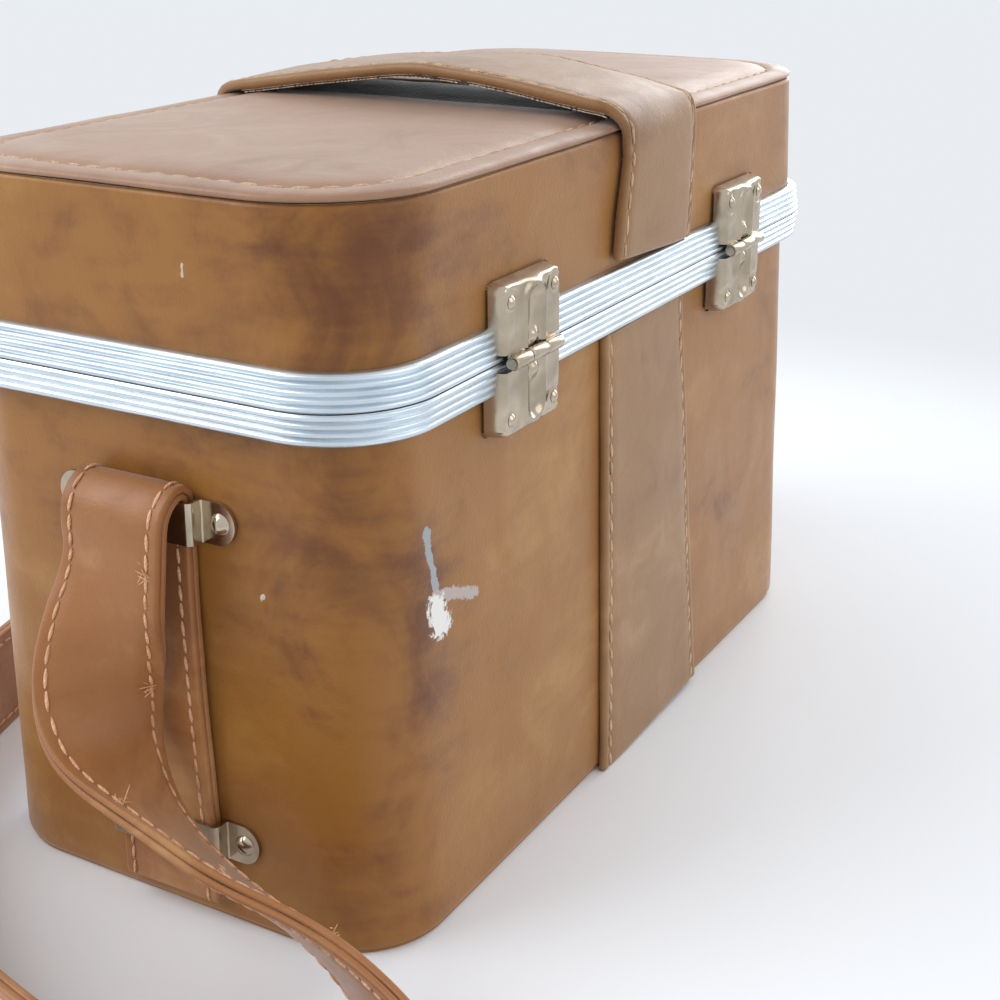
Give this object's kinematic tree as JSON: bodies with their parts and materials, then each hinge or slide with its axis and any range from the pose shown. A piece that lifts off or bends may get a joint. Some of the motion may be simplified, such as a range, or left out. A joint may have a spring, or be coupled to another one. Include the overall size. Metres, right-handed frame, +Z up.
{
  "type": "hard camera case",
  "caption": "Leather-covered hard camera case with a hinged lid, ribbed edge bands, belt handle, turn-button latches and a shoulder strap through end loops.",
  "frame": {"origin": "centre of the underside", "axes": "+Z up; +X along the case to the end nearest the camera in the picture; +Y out of the wall with the hinges"},
  "size_m": [0.4543, 0.2955, 0.2279],
  "materials": {
    "case_leather": "worn, satin",
    "belt_leather": "satin",
    "strap_leather": "satin",
    "band_aluminium": "satin, ribbed",
    "board": "matte",
    "cloth": "matte",
    "padding": "matte",
    "nickel_plate": "worn nickel plate"
  },
  "bodies": {
    "base": {"base_shell": "board", "base_cover": "case_leather", "bottom_panel": "case_leather", "base_lining": "cloth", "base_pad": "padding", "divider": "padding", "base_band": "band_aluminium", "back_belt": "belt_leather", "front_belt": "belt_leather", "hinge_leaf_base_right": "nickel_plate", "hinge_leaf_base_left": "nickel_plate", "hinge_pin_right": "nickel_plate", "hinge_pin_left": "nickel_plate", "hinge_rivets_base": "nickel_plate", "latch_leaf_right": "nickel_plate", "latch_leaf_left": "nickel_plate", "latch_pin_right": "nickel_plate", "latch_pin_left": "nickel_plate", "latch_rivets_base": "nickel_plate", "strap_loop_upper_right": "nickel_plate", "strap_loop_upper_left": "nickel_plate", "strap_loop_lower_right": "nickel_plate", "strap_loop_lower_left": "nickel_plate", "loop_screws": "nickel_plate", "strap_outer_ply": "strap_leather", "strap_inner_ply": "strap_leather"},
    "lid": {"lid_shell": "board", "lid_cover": "case_leather", "lid_band": "band_aluminium", "lid_lining": "cloth", "lid_foam": "padding", "top_panel": "case_leather", "under_handle_strip": "cloth", "handle_belt": "belt_leather", "handle_lining": "strap_leather", "hinge_leaf_lid_right": "nickel_plate", "hinge_leaf_lid_left": "nickel_plate", "hinge_rivets_lid": "nickel_plate", "keeper_right": "nickel_plate", "keeper_left": "nickel_plate", "latch_rivets_lid": "nickel_plate"},
    "hasp_right": {"hasp_right": "nickel_plate"},
    "hasp_left": {"hasp_left": "nickel_plate"},
    "button_right": {"turn_button_right": "nickel_plate"},
    "button_left": {"turn_button_left": "nickel_plate"}
  },
  "joints": [
    {"name": "lid_hinge", "type": "hinge", "parent": "base", "child": "lid", "pos_m": [0, 0.0804, 0.1607], "axis": [-1, 0, 0], "range_deg": [0, 105]},
    {"name": "hasp_right_pivot", "type": "hinge", "parent": "base", "child": "hasp_right", "pos_m": [0.0795, -0.0804, 0.1557], "axis": [-1, 0, 0], "range_deg": [0, 180]},
    {"name": "hasp_left_pivot", "type": "hinge", "parent": "base", "child": "hasp_left", "pos_m": [-0.0725, -0.0804, 0.1557], "axis": [-1, 0, 0], "range_deg": [0, 180]},
    {"name": "button_right_turn", "type": "hinge", "parent": "lid", "child": "button_right", "pos_m": [0.0795, -0.0804, 0.1762], "axis": [0, 1, 0], "range_deg": [0, 90]},
    {"name": "button_left_turn", "type": "hinge", "parent": "lid", "child": "button_left", "pos_m": [-0.0725, -0.0804, 0.1762], "axis": [0, 1, 0], "range_deg": [0, 90]}
  ]
}
